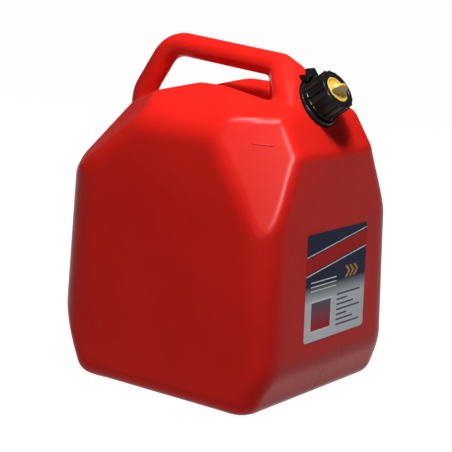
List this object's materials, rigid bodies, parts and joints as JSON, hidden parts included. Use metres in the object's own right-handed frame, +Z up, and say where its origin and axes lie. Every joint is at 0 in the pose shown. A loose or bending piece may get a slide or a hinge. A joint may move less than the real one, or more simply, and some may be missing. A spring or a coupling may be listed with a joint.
{
  "type": "self-venting fuel can",
  "caption": "Faceted blow-moulded fuel can with a hollow top handle and a slanted neck, closed by a ribbed screw collar, stopper disc and lock ring over a stowed pouring spout.",
  "frame": {"origin": "middle of the tank's length and width, on the surface that it stands on", "axes": "+Z up, +X towards the pouring end with the neck, Y across the parting plane at y = 0"},
  "size_m": [0.318, 0.2902, 0.415],
  "materials": {
    "tank_plastic": "satin",
    "black_plastic": "satin",
    "yellow_plastic": "satin",
    "seal_rubber": "matt",
    "clear_plastic": "gloss",
    "label_film": "gloss"
  },
  "bodies": {
    "tank_body": {"tank": "tank_plastic", "lock_ring": "black_plastic", "label": "label_film"},
    "spout_body": {"spout": "yellow_plastic", "air_tube": "clear_plastic", "neck_gasket": "seal_rubber"},
    "stopper_body": {"stopper": "yellow_plastic", "stopper_seal": "seal_rubber"},
    "collar_body": {"screw_collar": "black_plastic"},
    "tab_body": {"lock_tab": "black_plastic"}
  },
  "joints": [
    {"name": "spout_pull", "type": "slide", "parent": "tank_body", "child": "spout_body", "axis": [0.7934, 0, 0.6088], "range_m": [0, 0.24]},
    {"name": "closure_lift", "type": "slide", "parent": "spout_body", "child": "stopper_body", "axis": [0.7934, 0, 0.6088], "range_m": [0, 0.009]},
    {"name": "collar_turn", "type": "hinge", "parent": "stopper_body", "child": "collar_body", "pos_m": [0.11306, 0, 0.34941], "axis": [0.7934, 0, 0.6088], "range_deg": [0, 541]},
    {"name": "lock_tab_press", "type": "hinge", "parent": "tank_body", "child": "tab_body", "pos_m": [0.09715, 0, 0.37754], "axis": [0, -1, 0], "range_deg": [0, 10], "stiffness_Nm_per_rad": 0.02}
  ],
  "couplings": [
    {"joint": "collar_turn", "follows": "closure_lift", "rad_per_m": 1047.2}
  ]
}
